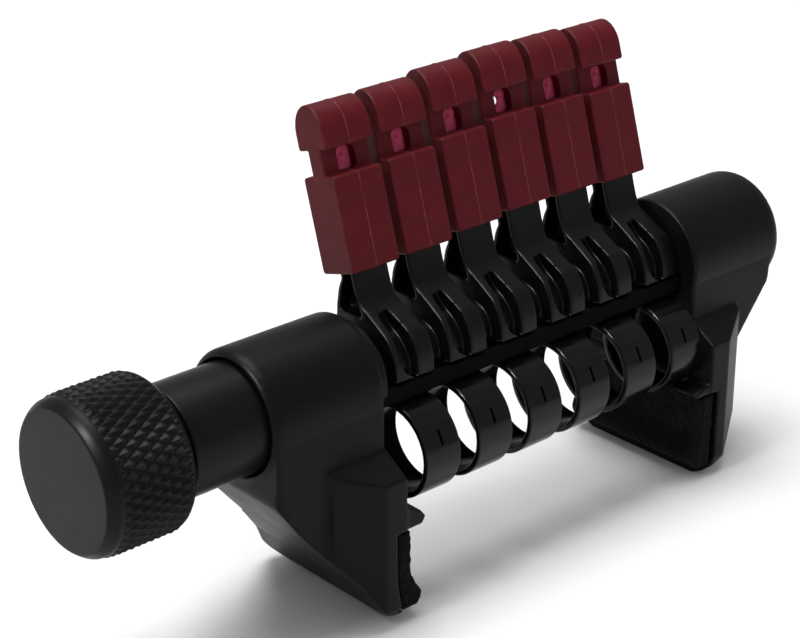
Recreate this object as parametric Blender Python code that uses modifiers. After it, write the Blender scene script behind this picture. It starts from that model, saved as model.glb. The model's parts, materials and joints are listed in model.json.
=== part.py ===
"""Guitar capo with six separate string levers.

The clamp lies along X, with its knob at -X. The strings run along Y under the bar, and Z is up.
The origin is under the middle of the capo, level with the bottoms of its two jaws.
It is drawn in millimetres, which the last step turns into metres.
"""

from math import cos, pi, radians, sin

import bmesh
import bpy
from mathutils import Matrix, Vector

MM = 0.001

# Overall sizes
LENGTH = 98.2
AXIS_Z = 25.3
JAW_DEPTH = 21.0
GAP = 0.3
SEAM = 0.05

# The row of levers
LEVERS = 6
PITCH = 7.65
ROW_X = 11.0
LEVER_WIDTH = 5.4
ARM_WIDTH = 4.9
LEAN = 16.8
HUB_RADIUS = 3.6
STOP_Z = -0.6
ARM_FRONT = 0.35
ARM_BACK = -1.75
ARM_TOP = 19.0
FRONT_FLANGE = 0.5
REAR_FLANGE = 0.45
WEB = 2.0
SPACER_RADIUS = 3.0

# The rubber heads, along each arm (w) and forward of it (u)
HEAD_WIDTH = 6.5
HEAD_BOTTOM = 10.4
BLOCK_TOP = 20.8
NECK_TOP = 23.6
CAP_SIDE = 25.3
CAP_TOP = 28.4
HEAD_FRONT = 1.6
HEAD_BACK = -3.6
NECK_FRONT = 0.15
NECK_BACK = -1.95
CAP_FRONT = 1.25
CAP_BACK = -3.4
HEAD_HOLE_RADIUS = 1.3

# How far each head has been pushed up its arm, and how far it can go either way from the middle
HEAD_LIFTS = (-0.4, -0.3, 0.2, 0.6, 0.4, 0.1)
HEAD_TRAVEL = 0.8

# The jaws
JAW_RADIUS = 7.1
BORE_RADIUS = 6.3
ARM_HALF_DEPTH = 7.0
LEFT_FACE_X = -14.55
LEFT_MOUTH_X = -29.0
RIGHT_FACE_X = 33.15
FLANGE_WIDTH = 2.95
WING_WIDTH = 7.7
WING_TOP_Z = -5.7
FLANGE_TOP_Z = -7.9
LEDGE_Z = -14.1
PAD_TOP_Z = -14.45
PAD_BOTTOM_Z = -23.9
PAD_BACK = 1.1
PAD_PROUD = 0.9
PAD_HALF_DEPTH = 10.2

# The adjuster
KNOB_RADIUS = 8.4
KNOB_SHOULDER = 8.2
KNOB_FACE_RADIUS = 7.35
KNOB_LENGTH = 10.3
SHOULDER_LENGTH = 2.7
BARREL_RADIUS = 6.0
BARREL_BORE = 3.5
BARREL_START_X = -37.6
BARREL_END_X = -13.1
SPINDLE_RADIUS = 2.0
PIN_RADIUS = 1.0
NUT_X = -25.4
JAW_OPENS = 9.5
JAW_CLOSES = 1.0

# The shaft, the rail and the bands under it
SHAFT_RADIUS = 2.0
SCREW_RADIUS = 1.0
RAIL_FRONT = -4.5
RAIL_TOP_BACK = -3.92
RAIL_BOTTOM_BACK = -2.95
RAIL_TOP = -0.95
RAIL_BOTTOM = -2.85
BAND_Y = -3.55
BAND_Z = -8.7
BAND_RADIUS = 5.5
BAND_THICKNESS = 0.7
BAND_START = 74
BAND_END = 410
BAND_WIDTH = 4.9

# How finely round shapes are divided
ROUND = 40
SMALL_ROUND = 24
BAND_STEPS = 24
CAP_STEPS = 10

# Shapes whose cuts share a plane or an edge, which need the manifold solver
MANIFOLD_CUTS = ("left_jaw", "right_jaw", "lever_")


# ---------------------------------------------------------------- scene and materials

def clear_scene():
    for obj in list(bpy.data.objects):
        bpy.data.objects.remove(obj, do_unlink=True)


def new_collection(name):
    collection = bpy.data.collections.new(name)
    bpy.context.scene.collection.children.link(collection)
    return collection


def new_material(name, colour, roughness, metallic):
    material = bpy.data.materials.new(name)
    material.use_nodes = True
    shader = material.node_tree.nodes["Principled BSDF"]
    shader.inputs["Base Color"].default_value = (*colour, 1.0)
    shader.inputs["Roughness"].default_value = roughness
    shader.inputs["Metallic"].default_value = metallic
    return material


def add_object(name, mesh, material, collection):
    obj = bpy.data.objects.new(name, mesh)
    obj.data.materials.clear()
    if material:
        obj.data.materials.append(material)
    collection.objects.link(obj)
    return obj


def add_cutter(name, mesh):
    obj = add_object(name, mesh, None, cutters)
    obj.hide_render = True
    obj.display_type = "WIRE"
    return obj


# ---------------------------------------------------------------- shapes

def arc(centre, radius, start, end, steps):
    """Points on an arc, with its angles in degrees."""
    angles = [radians(start + (end - start) * i / steps) for i in range(steps + 1)]
    return [(centre[0] + radius * cos(a), centre[1] + radius * sin(a)) for a in angles]


def smooth_line(points, steps):
    """Points on a smooth curve through the given ones."""
    ends = [points[0]] + points + [points[-1]]
    result = []
    for i in range(len(points) - 1):
        a, b, c, d = (Vector(p) for p in ends[i:i + 4])
        for k in range(steps):
            t = k / steps
            result.append(0.5 * ((2 * b) + (c - a) * t + (2 * a - 5 * b + 4 * c - d) * t ** 2
                                 + (3 * b - a - 3 * c + d) * t ** 3))
    result.append(Vector(points[-1]))
    return [tuple(p) for p in result]


AXES = {
    "X": Matrix(((0, 0, 1), (1, 0, 0), (0, 1, 0))).to_4x4(),
    "Y": Matrix(((1, 0, 0), (0, 0, -1), (0, 1, 0))).to_4x4(),
    "Z": Matrix.Identity(4),
}


def plate(points, start, end, axis):
    """A flat outline given thickness along one axis, as a closed mesh.

    The outline's two coordinates are Y and Z for axis X, X and Z for axis Y, and X and Y for axis Z.
    """
    curve = bpy.data.curves.new("outline", "CURVE")
    curve.dimensions = "2D"
    curve.fill_mode = "BOTH"
    curve.extrude = (end - start) / 2
    spline = curve.splines.new("POLY")
    spline.points.add(len(points) - 1)
    for point, (a, b) in zip(spline.points, points):
        point.co = (a, b, 0, 1)
    spline.use_cyclic_u = True
    guide = bpy.data.objects.new("outline", curve)
    cutters.objects.link(guide)
    middle = (start + end) / 2
    guide.matrix_world = AXES[axis] @ Matrix.Translation((0, 0, -middle if axis == "Y" else middle))
    bpy.context.view_layer.update()
    evaluated = guide.evaluated_get(bpy.context.evaluated_depsgraph_get())
    mesh = bpy.data.meshes.new_from_object(evaluated)
    mesh.transform(guide.matrix_world)
    bpy.data.objects.remove(guide, do_unlink=True)
    cleaned = bmesh.new()
    cleaned.from_mesh(mesh)
    bmesh.ops.remove_doubles(cleaned, verts=cleaned.verts, dist=0.0001)
    bmesh.ops.recalc_face_normals(cleaned, faces=cleaned.faces)
    cleaned.to_mesh(mesh)
    cleaned.free()
    return mesh


def cylinder(radius, start, end, direction, centre=(0.0, 0.0), segments=ROUND):
    """A closed cylinder along X, Y or Z, with its centre line's other two coordinates."""
    form = bmesh.new()
    bmesh.ops.create_cone(form, cap_ends=True, segments=segments, radius1=radius, radius2=radius,
                          depth=end - start)
    middle = (start + end) / 2
    turn = {"X": Matrix.Rotation(pi / 2, 4, "Y"), "Y": Matrix.Rotation(pi / 2, 4, "X"),
            "Z": Matrix.Identity(4)}[direction] @ Matrix.Rotation(pi / segments, 4, "Z")
    place = {"X": (middle, *centre), "Y": (centre[0], middle, centre[1]),
             "Z": (*centre, middle)}[direction]
    bmesh.ops.transform(form, matrix=Matrix.Translation(place) @ turn, verts=form.verts)
    mesh = bpy.data.meshes.new("cylinder")
    form.to_mesh(mesh)
    form.free()
    return mesh


def box(x, y, z):
    """A box between the two ends of each range."""
    form = bmesh.new()
    bmesh.ops.create_cube(form, size=1.0)
    size = Matrix.Diagonal((x[1] - x[0], y[1] - y[0], z[1] - z[0], 1))
    middle = Vector((sum(x), sum(y), sum(z))) / 2
    bmesh.ops.transform(form, matrix=Matrix.Translation(middle) @ size, verts=form.verts)
    mesh = bpy.data.meshes.new("box")
    form.to_mesh(mesh)
    form.free()
    return mesh


def turned(name, profile, material, closed=False):
    """A profile of (radius, x) points turned about the clamp's axis, from its +X end down."""
    points = [(radius, 0, x) for radius, x in profile]
    edges = [(i, i + 1) for i in range(len(points) - 1)]
    if closed:
        edges.append((len(points) - 1, 0))
    mesh = bpy.data.meshes.new(name)
    mesh.from_pydata(points, edges, [])
    obj = add_object(name, mesh, material, model)
    obj.rotation_euler = (0, pi / 2, 0)
    obj.location.z = AXIS_Z
    screw = obj.modifiers.new("Turn", "SCREW")
    screw.axis = "Z"
    screw.steps = ROUND
    screw.render_steps = ROUND
    screw.use_merge_vertices = True
    screw.merge_threshold = 0.0001
    return obj


def combine(obj, other, operation):
    """Cuts an object with another, joins it on, or keeps what they share."""
    modifier = obj.modifiers.new(operation.title(), "BOOLEAN")
    modifier.operation = operation
    modifier.solver = "MANIFOLD" if obj.name.startswith(MANIFOLD_CUTS) else "EXACT"
    modifier.object = other


def cut(obj, mesh, operation="DIFFERENCE", x=0.0):
    """Combines an object with a mesh drawn about the clamp's axis, moved along it to x."""
    tool = add_cutter(obj.name + "_tool", mesh)
    tool.location = (x, 0, AXIS_Z)
    combine(obj, tool, operation)
    return tool


def round_edges(obj, width, segments=2, angle=35):
    bevel = obj.modifiers.new("Rounded edges", "BEVEL")
    bevel.width = width
    bevel.segments = segments
    bevel.limit_method = "ANGLE"
    bevel.angle_limit = radians(angle)
    bevel.use_clamp_overlap = True
    return bevel


def to_metres(parts):
    """Applies the parts' modifiers, and turns their millimetres into metres."""
    bpy.context.view_layer.update()
    depsgraph = bpy.context.evaluated_depsgraph_get()
    meshes = [bpy.data.meshes.new_from_object(obj.evaluated_get(depsgraph)) for obj in parts]
    for obj, mesh in zip(parts, meshes):
        mesh.transform(Matrix.Scale(MM, 4))
        mesh.shade_smooth()
        mesh.set_sharp_from_angle(angle=radians(30))
        obj.modifiers.clear()
        obj.data = mesh
        obj.location *= MM


def solid(name, mesh, material, x=0.0):
    """A sub-part whose mesh is drawn about the clamp's axis."""
    obj = add_object(name, mesh, material, model)
    obj.location = (x, 0, AXIS_Z)
    return obj


def lean(u, w):
    """A point forward of an arm's centre line (u) and up along it (w), as Y and Z."""
    angle = radians(LEAN)
    return (w * sin(angle) - u * cos(angle), w * cos(angle) + u * sin(angle))


def lever_x(index):
    return ROW_X + (index - (LEVERS - 1) / 2) * PITCH


# ---------------------------------------------------------------- adjuster

def make_knob():
    face = -LENGTH / 2
    rear = face + KNOB_LENGTH
    profile = [(0, rear), (KNOB_FACE_RADIUS, rear), (KNOB_RADIUS, rear - 0.8),
               (KNOB_RADIUS, face + SHOULDER_LENGTH), (KNOB_SHOULDER, face + SHOULDER_LENGTH - 0.15),
               (KNOB_SHOULDER, face + 1.2), (KNOB_SHOULDER - 0.2, face + 0.55),
               (KNOB_FACE_RADIUS, face), (0, face)]
    knob = turned("knob", profile, aluminium)
    cut(knob, cylinder(SPINDLE_RADIUS + GAP, rear - 6.5, rear + 1, "X"))
    return knob


def make_spindle():
    start = -LENGTH / 2 + KNOB_LENGTH - 6.2
    return turned("spindle", [(0, -21.2), (SPINDLE_RADIUS - 0.3, -21.2), (SPINDLE_RADIUS, -21.5),
                              (SPINDLE_RADIUS, start), (0, start)], steel)


def make_washer():
    start = -LENGTH / 2 + KNOB_LENGTH + GAP
    end = BARREL_START_X - GAP
    inner = SPINDLE_RADIUS + GAP
    return turned("thrust_washer", [(inner, end), (BARREL_RADIUS - 0.5, end),
                                    (BARREL_RADIUS - 0.5, start), (inner, start)], steel, True)


def make_barrel():
    profile = [(0, BARREL_END_X), (BARREL_RADIUS - 0.3, BARREL_END_X),
               (BARREL_RADIUS, BARREL_END_X - 0.3), (BARREL_RADIUS, BARREL_START_X + 0.3),
               (BARREL_RADIUS - 0.3, BARREL_START_X), (0, BARREL_START_X)]
    barrel = turned("barrel", profile, satin)
    cut(barrel, cylinder(BARREL_BORE, BARREL_START_X - 1, -20.5, "X"))
    cut(barrel, cylinder(SHAFT_RADIUS + GAP, -19.5, BARREL_END_X + 1, "X"))
    slot_half = 1.3
    cut(barrel, box((NUT_X - JAW_OPENS - 1.4, NUT_X + JAW_CLOSES + 1.4), (-slot_half, slot_half),
                    (-BARREL_RADIUS - 1, -2)))
    notch = rail_outline(GAP, -BARREL_RADIUS - 1)
    cut(barrel, plate(notch, -17.3, BARREL_END_X + 1, "X"))
    return barrel


def make_nut():
    inner = SPINDLE_RADIUS + GAP
    outer = BARREL_BORE - GAP
    nut = turned("spindle_nut", [(inner, NUT_X + 2.2), (outer, NUT_X + 2.2), (outer, NUT_X - 2.2),
                                 (inner, NUT_X - 2.2)], brass, True)
    hole = PIN_RADIUS + GAP
    cut(nut, cylinder(hole, -BARREL_BORE - 1, -1.5, "Z", (NUT_X, 0), SMALL_ROUND))
    return nut


def make_nut_pin():
    return solid("drive_pin", cylinder(PIN_RADIUS, -8.6, -2.6, "Z", (NUT_X, 0), SMALL_ROUND), steel)


# ---------------------------------------------------------------- jaws

def jaw_sections(side, face, outer_line, width):
    """The jaw arm's outlines seen from the front, from above and from its end."""
    bottom = -AXIS_Z
    front = [(face, -1.0), (face, bottom)] + outer_line
    half = JAW_DEPTH / 2
    top = []
    for sign, order in ((-1, 1), (1, -1)):
        edge = [(face, half * sign), (face + side * FLANGE_WIDTH, half * sign),
                (face + side * WING_WIDTH, (ARM_HALF_DEPTH + 0.8) * sign),
                (face + side * (WING_WIDTH + 0.25), ARM_HALF_DEPTH * sign),
                (face + side * width, ARM_HALF_DEPTH * sign)]
        top += edge[::order]
    end = []
    for sign, order in ((-1, 1), (1, -1)):
        edge = [(ARM_HALF_DEPTH * sign, -1.0), (ARM_HALF_DEPTH * sign, WING_TOP_Z),
                (half * sign, FLANGE_TOP_Z), (half * sign, bottom + 2.4),
                ((half - 0.7) * sign, bottom + 0.8), ((half - 2.2) * sign, bottom)]
        end += edge[::order]
    return front, top, end


def make_jaw(name, side, face, cylinder_profile, outer_line, width):
    """A jaw: a barrel-shaped housing with a flared arm that reaches down beside the neck."""
    front, top, end = jaw_sections(side, face, outer_line, width)
    half = JAW_DEPTH
    jaw = solid(name, plate(front, -half, half, "Y"), satin)
    cut(jaw, plate(top, -AXIS_Z - 5, 5, "Z"), "INTERSECT")
    low, high = sorted((face - side * 5, face + side * (width + 5)))
    cut(jaw, plate(end, low, high, "X"), "INTERSECT")
    housing = turned(name + "_housing", cylinder_profile, None)
    for owner in list(housing.users_collection):
        owner.objects.unlink(housing)
    cutters.objects.link(housing)
    housing.hide_render = True
    housing.display_type = "WIRE"
    combine(jaw, housing, "UNION")
    return jaw


def pad_recess(side, face):
    """The space for a pad in a jaw's inner face."""
    inner, outer = sorted((face - side * 4, face + side * (PAD_BACK + GAP)))
    half = JAW_DEPTH
    return box((inner, outer), (-half, half), (PAD_BOTTOM_Z - GAP, PAD_TOP_Z + 0.35))


def make_left_jaw():
    face = LEFT_FACE_X
    mouth = LEFT_MOUTH_X
    profile = [(0, face - SEAM), (JAW_RADIUS - 0.15, face - SEAM), (JAW_RADIUS, face - 0.2),
               (JAW_RADIUS, mouth + 0.8), (JAW_RADIUS - 0.25, mouth + 0.22),
               (JAW_RADIUS - 0.6, mouth), (0, mouth)]
    outer_line = [(face - 1.45, -AXIS_Z), (face - 2.3, -AXIS_Z + 1.0), (-19.15, -20.1), (-22.35, -16.2),
                  (-26.2, -11.6), (mouth + 0.3, -8.0), (mouth + 0.3, -1.0)]
    jaw = make_jaw("left_jaw", -1, face, profile, outer_line, mouth * -1 + face - 0.3)
    ledge = [(face - 1, -11.4), (face, -11.4), (face + 1.95, -12.4), (face + 2.7, -13.3),
             (face + 2.2, LEDGE_Z), (face - 1, LEDGE_Z)]
    half = JAW_DEPTH / 2 - 0.15
    cut(jaw, pad_recess(-1, face))
    cut(jaw, plate(ledge, -half, half, "Y"), "UNION")
    cut(jaw, cylinder(BORE_RADIUS, mouth - 1, face + 1, "X"))
    cut(jaw, cylinder(PIN_RADIUS + GAP, -9.0, -3.0, "Z", (NUT_X, 0), SMALL_ROUND))
    return jaw


def make_right_jaw():
    face = RIGHT_FACE_X
    end = LENGTH / 2
    profile = [(0, end), (JAW_RADIUS - 2.6, end)]
    profile += [(radius, x) for x, radius in
                arc((end - 1.8, JAW_RADIUS - 1.8), 1.8, 0, 90, 6)][1:]
    profile += [(JAW_RADIUS, face + 0.2), (JAW_RADIUS - 0.15, face + SEAM), (0, face + SEAM)]
    outer_line = [(face + 1.45, -AXIS_Z), (face + 2.4, -AXIS_Z + 1.0), (face + 8.2, -19.5),
                  (face + 8.2, -12.6), (face + 8.6, -11.0), (face + 10.6, -8.5), (end - 2.2, -4.6),
                  (end - 1.8, -1.0)]
    jaw = make_jaw("right_jaw", 1, face, profile, outer_line, end - face - 1.8)
    ledge = [(face + 1, -12.9), (face, -12.9), (face - 1.7, -13.2), (face - 2.5, -13.6),
             (face - 2.2, LEDGE_Z), (face + 1, LEDGE_Z)]
    cut(jaw, pad_recess(1, face))
    half = JAW_DEPTH / 2 - 0.15
    cut(jaw, plate(ledge, -half, BAND_Y - 3.6, "Y"), "UNION")
    cut(jaw, plate(ledge, BAND_Y + 3.9, half, "Y"), "UNION")
    cut(jaw, cylinder(SHAFT_RADIUS + GAP, face - 1, 41.3, "X"))
    cut(jaw, cylinder(SCREW_RADIUS + GAP, 40.0, end + 1, "X", segments=SMALL_ROUND))
    cut(jaw, cylinder(2.9, 46.6, end + 1, "X"))
    cut(jaw, plate(rail_outline(GAP, RAIL_FRONT - GAP), face - 1, face + 2.3, "X"))
    return jaw


def make_pad(name, side, face):
    """A soft pad that stands proud of the jaw's inner face, thickest at its lower end."""
    points = [(face + side * PAD_BACK, PAD_TOP_Z), (face - side * PAD_PROUD, PAD_TOP_Z),
              (face - side * PAD_PROUD, -19.8), (face - side * 2.0, -22.4),
              (face - side * 1.7, -23.4), (face - side * 1.0, PAD_BOTTOM_Z),
              (face + side * PAD_BACK, PAD_BOTTOM_Z)]
    pad = solid(name, plate(points, -PAD_HALF_DEPTH, PAD_HALF_DEPTH, "Y"), felt)
    round_edges(pad, 0.25, 1)
    return pad


def make_end_screw():
    end = LENGTH / 2
    profile = [(0, end - 0.7), (2.3, end - 0.7), (2.6, end - 1.0), (2.6, 46.9), (SCREW_RADIUS, 46.9),
               (SCREW_RADIUS, 36.3), (0, 36.3)]
    screw = turned("end_screw", profile, steel)
    cut(screw, cylinder(1.15, end - 1.8, end, "X", segments=6))
    return screw


# ---------------------------------------------------------------- bar

def make_shaft():
    profile = [(0, 41.0), (SHAFT_RADIUS, 41.0), (SHAFT_RADIUS, -19.2), (0, -19.2)]
    shaft = turned("lever_shaft", profile, steel)
    cut(shaft, cylinder(SCREW_RADIUS + GAP, 36.0, 42.0, "X", segments=SMALL_ROUND))
    return shaft


def rail_outline(margin=0.0, front=RAIL_FRONT):
    """The rail from its end: its back slopes, to follow the levers' round hubs."""
    return [(front, RAIL_BOTTOM - margin), (RAIL_BOTTOM_BACK + margin, RAIL_BOTTOM - margin),
            (RAIL_TOP_BACK + margin, RAIL_TOP + margin), (front, RAIL_TOP + margin)]


def make_rail():
    rail = solid("rail", plate(rail_outline(), -17.0, RIGHT_FACE_X + 2.0, "X"), gloss)
    round_edges(rail, 0.15)
    return rail


def band_mesh():
    """An open ring: it starts under the rail, comes forward and down, and turns up behind."""
    centre = (BAND_Y, BAND_Z)
    outer = arc(centre, BAND_RADIUS, BAND_START, BAND_END, BAND_STEPS)
    inner = arc(centre, BAND_RADIUS - BAND_THICKNESS, BAND_END, BAND_START, BAND_STEPS)
    return plate(outer + inner, -BAND_WIDTH / 2, BAND_WIDTH / 2, "X")


def make_bands():
    mesh = band_mesh()
    for i in range(LEVERS):
        band = solid(f"band_{i + 1}", mesh, gloss, lever_x(i))
        round_edges(band, 0.2, 1)
        slit = box((-0.2, 0.2), (-10, BAND_Y - BAND_RADIUS + BAND_THICKNESS / 2), (-7.0, -5.2))
        cut(band, slit, x=lever_x(i))


# ---------------------------------------------------------------- levers

def lever_outline():
    """A lever from its side: hub, curved front, a foot that flares to the rear, and a straight arm."""
    front = smooth_line([(-4.65, STOP_Z), (-4.42, 1.35), (-3.45, 3.5), (-1.85, 4.65), (-0.1, 5.6),
                         (1.35, 6.5), lean(ARM_FRONT, 8.2), lean(ARM_FRONT, 10.3)], 3)
    top = [lean(ARM_FRONT, ARM_TOP), lean(ARM_BACK, ARM_TOP)]
    rear = smooth_line([lean(ARM_BACK, 9.4), (4.95, 7.0), (5.1, 4.5), (4.5, 2.2), (HUB_RADIUS, 0.0)], 3)
    hub = arc((0, 0), HUB_RADIUS, 0, -170, 10)[1:]
    return front + top + rear + hub + [(-HUB_RADIUS, STOP_Z)]


def pocket_outline():
    """The recess in each side of an arm, between its front and rear flanges, open at the arm's top."""
    front, back = ARM_FRONT - FRONT_FLANGE, ARM_BACK + REAR_FLANGE
    return [lean(front, ARM_TOP + 1), lean(back, ARM_TOP + 1), lean(back, 9.5), (4.45, 7.0),
            (4.6, 5.0), (1.0, 5.0), (1.85, 6.6), lean(front, 8.4)]


def hub_recess():
    """The hollow in the front of a hub, from its side: it ends above the flat that meets the rail."""
    return [(-6.0, 5.5), (0.5, 5.5), (0.2, 4.6), (-0.6, 3.6), (-1.8, 2.8), (-3.0, 1.3), (-3.4, -0.1),
            (-6.0, -0.1)]


def arm_taper():
    """A lever from the front: full width at its hub, and narrower up its arm."""
    hub, arm = LEVER_WIDTH / 2, ARM_WIDTH / 2
    return [(-hub, -5), (hub, -5), (hub, 3), (arm, 6.8), (arm, 25), (-arm, 25), (-arm, 6.8), (-hub, 3)]


def make_levers():
    half = LEVER_WIDTH / 2
    mesh = plate(lever_outline(), -half, half, "X")
    for i in range(LEVERS):
        x = lever_x(i)
        lever = solid(f"lever_{i + 1}", mesh, nylon, x)
        cut(lever, plate(arm_taper(), -8, 12, "Y"), "INTERSECT", x)
        for sign in (-1, 1):
            low, high = sorted((sign * WEB / 2, sign * 4))
            cut(lever, plate(pocket_outline(), low, high, "X"), x=x)
        cut(lever, plate(hub_recess(), -1.9, 0.35, "X"), x=x)
        spacer = cylinder(SPACER_RADIUS, -PITCH + half + GAP, -half + 0.5, "X", segments=SMALL_ROUND)
        cut(lever, spacer, "UNION", x)
        cut(lever, cylinder(SHAFT_RADIUS + GAP, -6, 6, "X", segments=SMALL_ROUND), x=x)


def head_outline():
    cap_centre = (CAP_FRONT + CAP_BACK) / 2
    cap_half = (CAP_FRONT - CAP_BACK) / 2
    dome = [(cap_centre + cap_half * cos(pi * i / CAP_STEPS),
             CAP_SIDE + (CAP_TOP - CAP_SIDE) * sin(pi * i / CAP_STEPS)) for i in range(CAP_STEPS + 1)]
    points = [(HEAD_BACK, HEAD_BOTTOM), (HEAD_FRONT, HEAD_BOTTOM), (HEAD_FRONT, BLOCK_TOP),
              (NECK_FRONT, BLOCK_TOP), (NECK_FRONT, NECK_TOP), (CAP_FRONT, NECK_TOP)]
    points += dome
    points += [(CAP_BACK, NECK_TOP), (NECK_BACK, NECK_TOP), (NECK_BACK, BLOCK_TOP), (HEAD_BACK, BLOCK_TOP)]
    return [lean(u, w) for u, w in points]


def head_socket():
    """The space inside a head for its arm, with room for the head to slide."""
    front, back = ARM_FRONT + GAP, ARM_BACK - GAP
    top = ARM_TOP + GAP + HEAD_TRAVEL
    return [lean(front, 5), lean(front, top), lean(back, top), lean(back, 5)]


def make_heads():
    half = HEAD_WIDTH / 2
    mesh = plate(head_outline(), -half, half, "X")
    socket_half = ARM_WIDTH / 2 + GAP
    hole_centre = Vector((0, *lean(0, (BLOCK_TOP + NECK_TOP) / 2)))
    for i, lift in enumerate(HEAD_LIFTS):
        raised = Vector((0, *lean(0, lift)))
        head = solid(f"head_{i + 1}", mesh, rubber, lever_x(i))
        hole = cut(head, cylinder(HEAD_HOLE_RADIUS, -5, 5, "Y", segments=SMALL_ROUND), x=lever_x(i))
        hole.location += hole_centre
        hole.rotation_euler = (-radians(LEAN), 0, 0)
        socket = cut(head, plate(head_socket(), -socket_half, socket_half, "X"), x=lever_x(i))
        for piece in (head, hole, socket):
            piece.location += raised
        round_edges(head, 0.3, 1)


# ---------------------------------------------------------------- build

clear_scene()
model = new_collection("string_capo")
cutters = new_collection("cutters")

aluminium = new_material("anodised_aluminium", (0.016, 0.016, 0.018), 0.36, 0.6)
satin = new_material("satin_black_coating", (0.012, 0.012, 0.013), 0.42, 0.2)
gloss = new_material("gloss_black_plastic", (0.010, 0.010, 0.011), 0.22, 0.0)
nylon = new_material("black_nylon", (0.013, 0.013, 0.013), 0.33, 0.0)
rubber = new_material("red_rubber", (0.17, 0.012, 0.02), 0.5, 0.0)
felt = new_material("black_pad", (0.015, 0.015, 0.016), 0.9, 0.0)
steel = new_material("steel", (0.45, 0.45, 0.46), 0.3, 1.0)
brass = new_material("brass", (0.6, 0.44, 0.2), 0.35, 1.0)

make_knob()
make_spindle()
make_washer()
make_barrel()
make_nut()
make_nut_pin()
make_left_jaw()
make_right_jaw()
make_pad("left_pad", -1, LEFT_FACE_X)
make_pad("right_pad", 1, RIGHT_FACE_X)
make_end_screw()
make_shaft()
make_rail()
make_bands()
make_levers()
make_heads()

to_metres(list(model.objects))
for tool in list(cutters.objects):
    bpy.data.objects.remove(tool, do_unlink=True)
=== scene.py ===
"""Looks of a guitar capo with six string levers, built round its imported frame.

Every sub-part is modelled again with its real edges, fillets and surface detail, in place of the
plain one that it replaces, and it rides on the same body. Shapes are drawn in millimetres about the
clamp's own axis, which runs along X through the lever shaft, and become metres when they are placed.
"""

import json
from math import atan2, cos, pi, radians, sin, tan

import bmesh
import bpy
import numpy as np
from mathutils import Matrix, Vector, noise

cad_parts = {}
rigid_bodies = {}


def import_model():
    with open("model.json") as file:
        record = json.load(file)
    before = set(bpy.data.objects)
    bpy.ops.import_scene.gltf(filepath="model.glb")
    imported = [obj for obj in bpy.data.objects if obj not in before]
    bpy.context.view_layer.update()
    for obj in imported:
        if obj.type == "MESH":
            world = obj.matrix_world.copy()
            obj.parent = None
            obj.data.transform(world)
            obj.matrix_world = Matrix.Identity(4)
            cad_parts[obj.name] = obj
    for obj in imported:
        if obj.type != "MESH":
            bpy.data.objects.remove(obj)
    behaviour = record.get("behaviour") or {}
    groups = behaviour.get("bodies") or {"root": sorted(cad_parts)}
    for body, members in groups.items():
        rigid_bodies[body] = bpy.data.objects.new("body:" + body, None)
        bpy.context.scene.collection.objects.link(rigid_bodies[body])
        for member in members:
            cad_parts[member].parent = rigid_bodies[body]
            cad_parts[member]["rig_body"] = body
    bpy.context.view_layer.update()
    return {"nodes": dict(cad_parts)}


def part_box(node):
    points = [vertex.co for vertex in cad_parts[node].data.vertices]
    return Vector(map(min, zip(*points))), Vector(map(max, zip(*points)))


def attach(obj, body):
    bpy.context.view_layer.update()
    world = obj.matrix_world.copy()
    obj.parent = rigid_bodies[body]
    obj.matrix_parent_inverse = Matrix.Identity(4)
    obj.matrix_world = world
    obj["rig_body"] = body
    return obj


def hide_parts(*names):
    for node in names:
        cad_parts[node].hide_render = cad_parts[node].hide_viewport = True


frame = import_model()

MM = 0.001


# ---------------------------------------------------------------- places, from the frame

def corners(node):
    """A node's lowest and highest corners, in millimetres."""
    low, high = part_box(node)
    return low / MM, high / MM


def middle(node):
    low, high = corners(node)
    return (low + high) / 2


AXIS_Z = middle("lever_shaft").z
LEVER_X = [middle(f"band_{i}").x for i in range(1, 7)]
PITCH = LEVER_X[1] - LEVER_X[0]
PAD_BACK = 1.1
LEFT_FACE = corners("left_pad")[0].x + PAD_BACK
RIGHT_FACE = corners("right_pad")[1].x - PAD_BACK
KNOB_FACE = corners("knob")[0].x
KNOB_REAR = corners("knob")[1].x
BARREL_START = corners("barrel")[0].x
BARREL_END = corners("barrel")[1].x
NUT_X = middle("spindle_nut").x

# Radii and clearances
GAP = 0.3
JAW_RADIUS = 7.1
BORE_RADIUS = 6.3
BARREL_RADIUS = 6.0
BARREL_BORE = 3.5
BARREL_BORE_END = -20.5
SHAFT_BORE_START = -19.5
RAIL_NOTCH_START = -17.3
SLOT_BACK = 10.9
SLOT_FRONT = 2.4
SPINDLE_RADIUS = 2.0
SHAFT_RADIUS = 2.0
SCREW_RADIUS = 1.0
SCREW_HEAD_RADIUS = 2.6
SCREW_HEAD_X = 46.9
SOCKET_RADIUS = 1.15
SCREW_HOLE_X = 36.0

# The jaws and their pads. The sliding jaw's lower end swings toward the neck by FLARE: fully at
# FLARE_BOTTOM and not above FLARE_TOP, and only from FLARE_START behind its face, over FLARE_REACH.
FLARE = 0.8
FLARE_BOTTOM = -25.2
FLARE_TOP = -18.8
FLARE_START = 2.7
FLARE_REACH = 1.2
TIP_BOTTOM = -25.2
TIP_TOP = -22.8
HOLLOW_Z = -7.5
PAD_PROUD = 0.85
PAD_HALF = 10.15

# The knob
KNOB_RADIUS = 8.4
KNOB_SHOULDER = 8.2
KNOB_FACE_RADIUS = 7.4
SHOULDER_LENGTH = 1.55
KNURL_STARTS = 46
KNURL_PITCH = 2.3
KNURL_DEPTH = 0.36
KNURL_SAMPLES = 14
KNURL_SEGMENTS = 10
THREAD_PITCH = 0.8
THREAD_DEPTH = 0.3
THREAD_CHAMFER = 0.45
PIN_RADIUS = 1.0

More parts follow.
